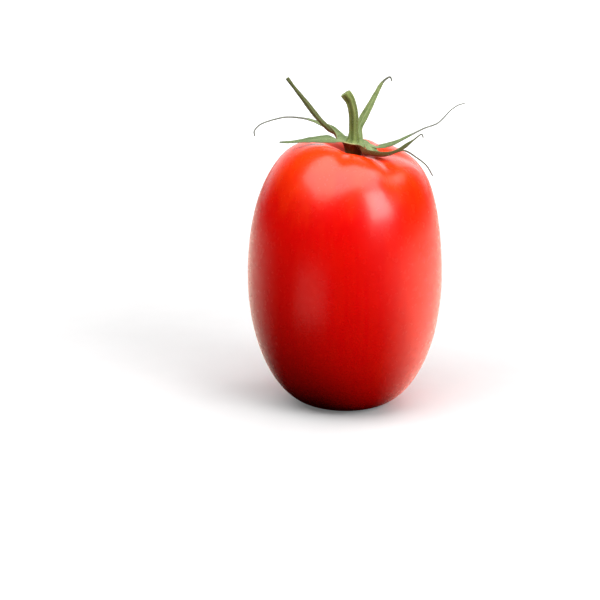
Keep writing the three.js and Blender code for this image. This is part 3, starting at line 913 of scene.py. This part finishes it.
def leafMaterial():
    material, tree, shader = newMaterial("sepalGreen")
    place = addNode(tree, "Attribute", (-1700, 0), attribute_name="growth").outputs["Vector"]
    along, across, under, hub, darkness, paintedUnderShade, thread = readValues(
        tree, "along", "across", "underside", "hub", "darkness", "paintedShadeUnder", "thread")
    away = calculate(tree, (-1500, -400), "ABSOLUTE", across)
    tone = placeGroup(
        tree, mottle, (-1300, 300), Place=place, First_Tone=leaf["green"],
        Second_Tone=leaf["greenPale"], Patches_per_mm=0.8, Contrast=3.0)
    veins = placeGroup(
        tree, streaks, (-1300, 50), Place=place, Streaks_per_mm=3.2, Length=9.0, Contrast=1.8)
    veined = calculate(tree, (-1100, 50), "MULTIPLY", veins, leaf["veinShare"])
    tone = mixColours(tree, (-1000, 300), veined, tone, leaf["midrib"])
    rib = rangeOf(tree, (-1300, -200), away, 0.0, 0.22, 1.0, 0.0)
    ribStart = rangeOf(tree, (-1300, -300), along, 0.03, 0.12, 0.0, 0.75)
    ribShown = calculate(tree, (-1100, -200), "MULTIPLY", rib, ribStart)
    tone = mixColours(tree, (-850, 300), ribShown, tone, leaf["midrib"])
    edge = rangeOf(tree, (-1300, -450), away, 0.82, 1.0, 0.0, leaf["edgeShare"])
    tone = mixColours(tree, (-700, 300), edge, tone, leaf["edge"])
    tone = mixColours(tree, (-620, 300), darkness, tone, leaf["dark"])
    drier = calculate(tree, (-1400, -550), "MULTIPLY_ADD", veins, 0.3, thread)
    tip = rangeOf(tree, (-1300, -550), drier, 0.2, 1.1, 0.0, 0.95)
    tone = mixColours(tree, (-550, 300), tip, tone, leaf["tip"])
    hubShown = rangeOf(tree, (-1300, -900), hub, 0.45, 0.95, 0.0, leaf["hubShare"])
    tone = mixColours(tree, (-400, 300), hubShown, tone, leaf["hub"])
    # near the hub and on the neck the underside is painted dark brown: painted shade under the calyx,
    # with the fruit's red light in it
    underTone = mixColours(tree, (-700, -300), paintedUnderShade, leaf["under"], leaf["paintedShadeUnderHub"])
    underShown = calculate(tree, (-500, -500), "MULTIPLY", under, leaf["underShare"])
    tone = mixColours(tree, (-250, 300), underShown, tone, underTone)

    # the pale lip runs where the upper side meets the lower one, near the hub
    lipIn = rangeOf(tree, (-700, -650), under, 0.05, 0.3)
    lipOut = rangeOf(tree, (-700, -800), under, 0.5, 0.8, 1.0, 0.0)
    lip = calculate(tree, (-500, -700), "MULTIPLY", lipIn, lipOut)
    nearHub = rangeOf(tree, (-700, -950), along, 0.0, 0.12, leaf["lipShare"], 0.0)
    lip = calculate(tree, (-400, -750), "MULTIPLY", lip, nearHub)
    tone = mixColours(tree, (-180, 300), lip, tone, leaf["lip"])
    specks = placeGroup(
        tree, flecks, (-1300, -1150), Place=place, Flecks_per_mm=2.4, Size=0.2, Share=0.3)
    specks = calculate(tree, (-400, -900), "MULTIPLY", specks, leaf["fleckShare"])
    tone = mixColours(tree, (-100, 300), specks, tone, leaf["tip"])
    fine = placeGroup(
        tree, grain, (-1000, -900), Place=place, Broad_per_mm=2.5, Fine_per_mm=9.0, Fine_Share=0.4)
    height = calculate(tree, (-700, -900), "MULTIPLY_ADD", veins, 0.8, fine)
    bump = bumpNormal(tree, (-300, -600), height, leaf["bump"])
    rough = calculate(tree, (-300, -200), "MULTIPLY_ADD", fine, 0.12, leaf["roughness"] - 0.06)
    linked = {"Base Color": tone, "Roughness": rough, "Normal": bump}
    finishShader(tree, shader, linked, leafFinish)
    return material


bark = {
    "green": colour(0.11, 0.15, 0.03),
    "greenPale": colour(0.19, 0.235, 0.06),
    "groove": colour(0.06, 0.08, 0.014),
    "grooveShare": 0.7,
    "ridge": colour(0.26, 0.3, 0.1),
    "rim": colour(0.12, 0.2, 0.04),
    "cut": colour(0.2, 0.24, 0.07),
    "pith": colour(0.27, 0.27, 0.1),
    "fleckShare": 0.35,
    "roughness": 0.58,
    "bump": 0.09,  # mm
}
barkFinish = {
    "Specular IOR Level": 0.25,
    "Sheen Weight": 0.08,
    "Sheen Roughness": 0.45,
    "Sheen Tint": colour(0.9, 0.95, 0.8),
}


def barkMaterial():
    material, tree, shader = newMaterial("stemGreen")
    place = addNode(tree, "Attribute", (-1700, 0), attribute_name="growth").outputs["Vector"]
    ridge, cut, ring, up = readValues(tree, "ridge", "cutFace", "cutRadius", "upStem")
    tone = placeGroup(
        tree, mottle, (-1300, 300), Place=place, First_Tone=bark["green"],
        Second_Tone=bark["greenPale"], Patches_per_mm=0.5, Contrast=2.0)
    lines = placeGroup(
        tree, streaks, (-1300, 50), Place=place, Streaks_per_mm=2.6, Length=8.0, Contrast=2.0)
    groove = rangeOf(tree, (-1300, -150), ridge, 0.5, 0.0, 0.0, bark["grooveShare"])
    tone = mixColours(tree, (-1000, 300), groove, tone, bark["groove"])
    crest = rangeOf(tree, (-1300, -250), ridge, 0.45, 1.0, 0.1, 0.7)
    paler = calculate(tree, (-1100, 0), "MULTIPLY", crest, lines)
    tone = mixColours(tree, (-850, 300), paler, tone, bark["ridge"])
    nearEnd = rangeOf(tree, (-1300, -800), up, 0.93, 1.0, 0.0, 0.4)
    tone = mixColours(tree, (-700, 300), nearEnd, tone, bark["ridge"])
    rim = rangeOf(tree, (-1300, -500), ring, 0.75, 0.9)
    face = mixColours(tree, (-900, -400), rim, bark["cut"], bark["rim"])
    pith = rangeOf(tree, (-1300, -600), ring, 0.55, 0.2)
    face = mixColours(tree, (-750, -400), pith, face, bark["pith"])
    tone = mixColours(tree, (-550, 300), cut, tone, face)
    specks = placeGroup(
        tree, flecks, (-1300, -1000), Place=place, Flecks_per_mm=2.6, Size=0.22, Share=0.3)
    specks = calculate(tree, (-600, -900), "MULTIPLY", specks, bark["fleckShare"])
    tone = mixColours(tree, (-400, 300), specks, tone, bark["groove"])
    fine = placeGroup(
        tree, grain, (-1000, -900), Place=place, Broad_per_mm=2.0, Fine_per_mm=8.0, Fine_Share=0.5)
    height = calculate(tree, (-700, -700), "MULTIPLY_ADD", lines, 0.9, fine)
    bump = bumpNormal(tree, (-300, -600), height, bark["bump"])
    rough = calculate(tree, (-300, -200), "MULTIPLY_ADD", fine, 0.1, bark["roughness"] - 0.05)
    linked = {"Base Color": tone, "Roughness": rough, "Normal": bump}
    finishShader(tree, shader, linked, barkFinish)
    return material


# Real hairs are a little see-through, so these get a pale dull green with some variation.
down = {
    "tone": colour(0.3, 0.36, 0.18),
    "tonePale": colour(0.5, 0.56, 0.36),
    "roughness": 0.5,
}


def hairMaterial():
    material, tree, shader = newMaterial("hairPale")
    tone = placeGroup(
        tree, mottle, (-700, 200), Place=placeInMm(tree), First_Tone=down["tone"],
        Second_Tone=down["tonePale"], Patches_per_mm=0.8, Contrast=2.5)
    finishShader(tree, shader, {"Base Color": tone}, {"Roughness": down["roughness"]})
    return material


fruitPiece.data.materials.append(skinMaterial())
calyxPiece.data.materials.append(leafMaterial())
stemPiece.data.materials.append(barkMaterial())
downMaterial = hairMaterial()
stemHairs.data.materials.append(downMaterial)
calyxHairs.data.materials.append(downMaterial)
print("materials made")

for piece, node, slotName in (
    (fruitPiece, "fruit", "skin"),
    (calyxPiece, "calyx", "calyx_green"),
    (stemPiece, "stem", "stem_green"),
):
    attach(piece, "root")
    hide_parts(node)
for piece, slotName in ((calyxHairs, "calyx_green"), (stemHairs, "stem_green")):
    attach(piece, "root")

# The studio, in metres: a big softbox overhead and in front, smaller ones at the front right and
# the back right, and a pale floor.
studio = {
    "softboxOverhead": {
        "place": (-0.16, -0.235, 0.62), "aim": (-0.16, -0.235, 0), "turn": 17,
        "size": (1.2, 0.61), "radiance": 4.4,
    },
    "softboxFrontRight": {
        "place": (0.58, -0.6, 0.52), "aim": (0.008, -0.02, 0.055), "turn": 0,
        "size": (0.5, 0.48), "radiance": 10,
    },
    "softboxBackRight": {
        "place": (0.38, 0.18, 0.6), "aim": (0.01, -0.01, 0.06), "turn": 0,
        "size": (0.36, 0.3), "radiance": 1.4,
    },
}


def makeSoftbox(name, box):
    light = bpy.data.lights.new(name, "AREA")
    light.shape = "RECTANGLE"
    light.size, light.size_y = box["size"]
    light.energy = box["radiance"] * math.pi * box["size"][0] * box["size"][1]
    lamp = bpy.data.objects.new(name, light)
    lamp.location = box["place"]
    towards = Vector(box["aim"]) - Vector(box["place"])
    lamp.rotation_euler = towards.to_track_quat("-Z", "Y").to_euler()
    lamp.rotation_euler.rotate_axis("Z", math.radians(box["turn"]))
    bpy.context.scene.collection.objects.link(lamp)


for name, box in studio.items():
    makeSoftbox(name, box)

# The camera sees a pale floor that glows a little and so stays white far away. For the light that
# falls back on the fruit it is dark in front, so that the fruit's front stays deep red.
paleFloor = {
    "tone": 0.55,
    "glow": (0.12, 0.95),  # near the fruit and far away
    "glowFrom": (0.05, 0.45),  # metres
    "bounce": (0.0, 1.0),  # how pale it is for that light: front left, back right
    "bounceTowards": (0.42, 0.91, 0),
    "bounceTint": colour(1, 0.89, 0.75),
    "patch": 0.3,  # a pale patch of it at the front left
    "patchTowards": (-0.66, -0.75, 0),
    "halfSize": 3000,  # mm
}


def floorMaterial():
    material, tree, shader = newMaterial("floorPale")
    f = paleFloor
    place = addNode(tree, "TexCoord", (-1300, 0)).outputs["Object"]
    far = addNode(tree, "VectorMath", (-1100, 200), {0: place}, operation="LENGTH").outputs["Value"]
    paper = addNode(tree, "TexNoise", (-1100, 400), {"Vector": place, "Scale": 90.0, "Detail": 3.0})
    tone = rangeOf(tree, (-600, 200), paper.outputs["Fac"], 0.3, 0.7, f["tone"] - 0.01, f["tone"])
    aside = addNode(tree, "VectorMath", (-1100, -200), {0: place}, operation="NORMALIZE").outputs[0]

    def facing(direction, height):
        node = addNode(
            tree, "VectorMath", (-900, height), {0: aside, 1: direction}, operation="DOT_PRODUCT")
        return node.outputs["Value"]

    bounce = rangeOf(tree, (-600, -200), facing(f["bounceTowards"], -200), -0.58, 0.6, *f["bounce"])
    patch = rangeOf(tree, (-600, -400), facing(f["patchTowards"], -400), 0.93, 0.99, 0.0, f["patch"])
    patchStart = rangeOf(tree, (-750, -600), far, 0.06, 0.12)
    patchEnd = rangeOf(tree, (-750, -750), far, 0.25, 0.5, 1.0, 0.0)
    patch = calculate(tree, (-500, -500), "MULTIPLY", patch, patchStart)
    patch = calculate(tree, (-500, -650), "MULTIPLY", patch, patchEnd)
    bounce = calculate(tree, (-450, -300), "MAXIMUM", bounce, patch)
    seenByCamera = addNode(tree, "LightPath", (-600, 600)).outputs["Is Camera Ray"]
    warm = mixColours(tree, (-400, -100), bounce, colour(0, 0, 0), f["bounceTint"])
    seen = mixColours(tree, (-300, 0), seenByCamera, warm, tone)
    glow = rangeOf(tree, (-600, 400), far, *f["glowFrom"], *f["glow"])
    glow = calculate(tree, (-300, 400), "MULTIPLY", glow, seenByCamera)
    finish = {"Emission Strength": 1.0, "Roughness": 0.8, "Specular IOR Level": 0.1}
    finishShader(tree, shader, {"Base Color": seen, "Emission Color": glow}, finish)
    return material


half = paleFloor["halfSize"]
corners = [(-half, -half, 0), (half, -half, 0), (half, half, 0), (-half, half, 0)]
floor = meshPiece("floor", corners, [(0, 1, 2, 3)])
floor.data.materials.append(floorMaterial())


# A white world: the camera sees it everywhere, and it lights the fruit from behind alone.
def makeWorld(backGlow):
    world = bpy.data.worlds.new("studioWorld")
    bpy.context.scene.world = world
    world.use_nodes = True
    sky = world.node_tree
    sky.nodes.clear()
    direction = addNode(sky, "TexCoord", (-900, 0)).outputs["Generated"]
    towards = addNode(sky, "SeparateXYZ", (-700, 0), {"Vector": direction}).outputs
    behind = rangeOf(sky, (-500, 0), towards["Y"], 0.6, 0.95, 0.0, backGlow)
    seenByCamera = addNode(sky, "LightPath", (-700, 300)).outputs["Is Camera Ray"]
    strength = addNode(sky, "Mix", (-250, 0), {"Factor": seenByCamera, "A": behind, "B": 1.0})
    background = addNode(sky, "Background", (0, 0), {
        "Color": colour(1, 1, 1), "Strength": strength.outputs[0],
    })
    addNode(sky, "OutputWorld", (250, 0), {"Surface": background.outputs[0]})


makeWorld(backGlow=1.4)
print("studio made")

# The photograph's view: 0.6 m from the fruit's middle, looking down.
view = {
    "place": (-0.012177, -0.578557, 0.194103),
    "degreesDown": 16,
    "sensor": 36,
    "lens": 133.92,
}
cameraData = bpy.data.cameras.new("photoCamera")
cameraData.sensor_width = view["sensor"]
cameraData.lens = view["lens"]
camera = bpy.data.objects.new("photoCamera", cameraData)
camera.location = view["place"]
camera.rotation_euler = (math.radians(90 - view["degreesDown"]), 0, 0)
bpy.context.scene.collection.objects.link(camera)
bpy.context.scene.camera = camera
bpy.context.scene.view_settings.view_transform = "Standard"

bpy.context.view_layer.update()
